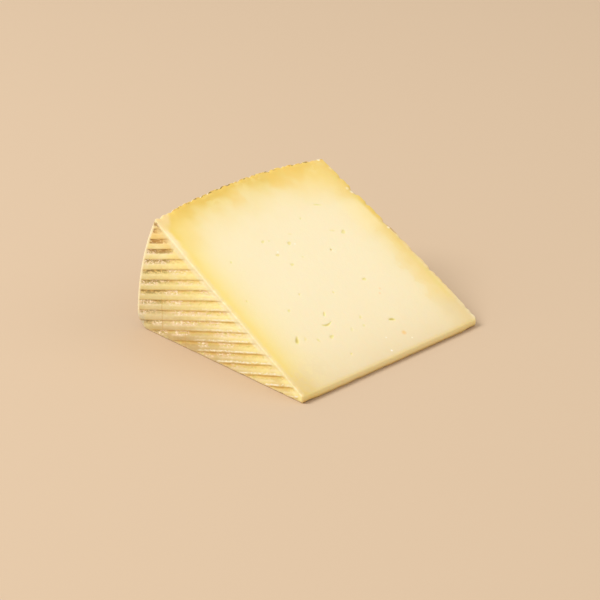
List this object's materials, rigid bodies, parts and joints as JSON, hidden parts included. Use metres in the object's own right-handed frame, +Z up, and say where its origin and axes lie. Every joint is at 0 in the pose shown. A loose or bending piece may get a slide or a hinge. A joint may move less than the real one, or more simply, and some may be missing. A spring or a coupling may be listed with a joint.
{
  "type": "manchego cheese wedge",
  "caption": "Wedge of hard aged manchego lying on a cut face, its flat rind faces ridged by the boards and its rim printed by a plaited band.",
  "frame": {"origin": "middle of the wedge's box, on the surface that it lies on", "axes": "+X along the wheel's axis, from the ridged face that the picture shows to the other flat face; +Y from the thin tip to the rim; +Z up"},
  "size_m": [0.0966, 0.1002, 0.0515],
  "materials": {
    "cheese": "close waxy paste, pale cream inside and golden towards the rind, with a dry ridged straw-coloured rind"
  },
  "bodies": {
    "root": {"cheese_wedge": "cheese"}
  },
  "joints": []
}
